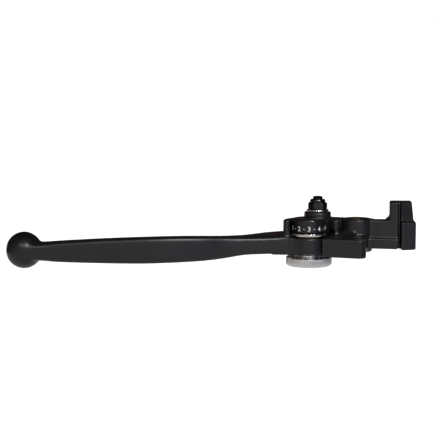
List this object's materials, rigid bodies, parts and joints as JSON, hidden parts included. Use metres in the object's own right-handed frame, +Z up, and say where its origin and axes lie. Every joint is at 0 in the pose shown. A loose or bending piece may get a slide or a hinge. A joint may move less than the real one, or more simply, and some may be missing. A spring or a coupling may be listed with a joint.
{
  "type": "clutch lever",
  "caption": "Black cast clutch lever with a ball end, a blade that swings on its pivot arm, and a knurled dial and cam that set the blade's reach.",
  "frame": {"origin": "on the main pivot's axis, at the lower face of the arm's pivot boss", "axes": "+X along the lever from the ball end to the pusher, -Y the rider's side, +Z up, along the main pivot, the blade's bolt and the dial"},
  "size_m": [0.195, 0.037, 0.0326],
  "materials": {
    "cast_black": "satin black coating over cast aluminium",
    "gloss_black": "gloss black",
    "satin_nickel": "satin nickel plate with straight knurling",
    "bright_steel": "bright turned steel",
    "dark_steel": "dark plated steel",
    "bronze": "plain bearing bronze",
    "nylon": "natural nylon",
    "rubber": "matt"
  },
  "bodies": {
    "arm": {"pivot_arm": "cast_black", "span_pivot_bolt": "dark_steel", "span_pivot_nut": "dark_steel", "nut_locking_ring": "nylon", "nut_washer": "bright_steel", "span_pivot_sleeve": "bright_steel", "thrust_washer": "bronze", "return_spring": "bright_steel"},
    "blade": {"lever_blade": "cast_black", "detent_spring": "bright_steel", "spindle_seal": "rubber", "flange_washer": "bronze"},
    "adjuster": {"adjuster_spindle": "bright_steel", "number_drum": "gloss_black", "drum_screw": "dark_steel", "adjuster_cam": "bright_steel", "cam_pin": "dark_steel", "knurled_dial": "satin_nickel", "dial_screw": "dark_steel"},
    "plunger": {"detent_plunger": "bright_steel"},
    "pivot_bush": {"main_pivot_bush": "bronze"}
  },
  "joints": [
    {"name": "blade_reach", "type": "hinge", "parent": "arm", "child": "blade", "pos_m": [-0.0185, 0.007, 0], "axis": [0, 0, 1], "range_deg": [-5, 0]},
    {"name": "dial_turn", "type": "hinge", "parent": "blade", "child": "adjuster", "pos_m": [-0.0235, -0.0075, 0], "axis": [0, 0, 1], "range_deg": [0, 180]},
    {"name": "plunger_click", "type": "slide", "parent": "blade", "child": "plunger", "axis": [0, 0, 1], "range_m": [-0.0004, 0]},
    {"name": "bush_turn", "type": "hinge", "parent": "arm", "child": "pivot_bush", "pos_m": [0, 0, 0], "axis": [0, 0, 1], "continuous": true}
  ],
  "couplings": [
    {"joint": "dial_turn", "follows": "blade_reach", "ratio": -36}
  ]
}
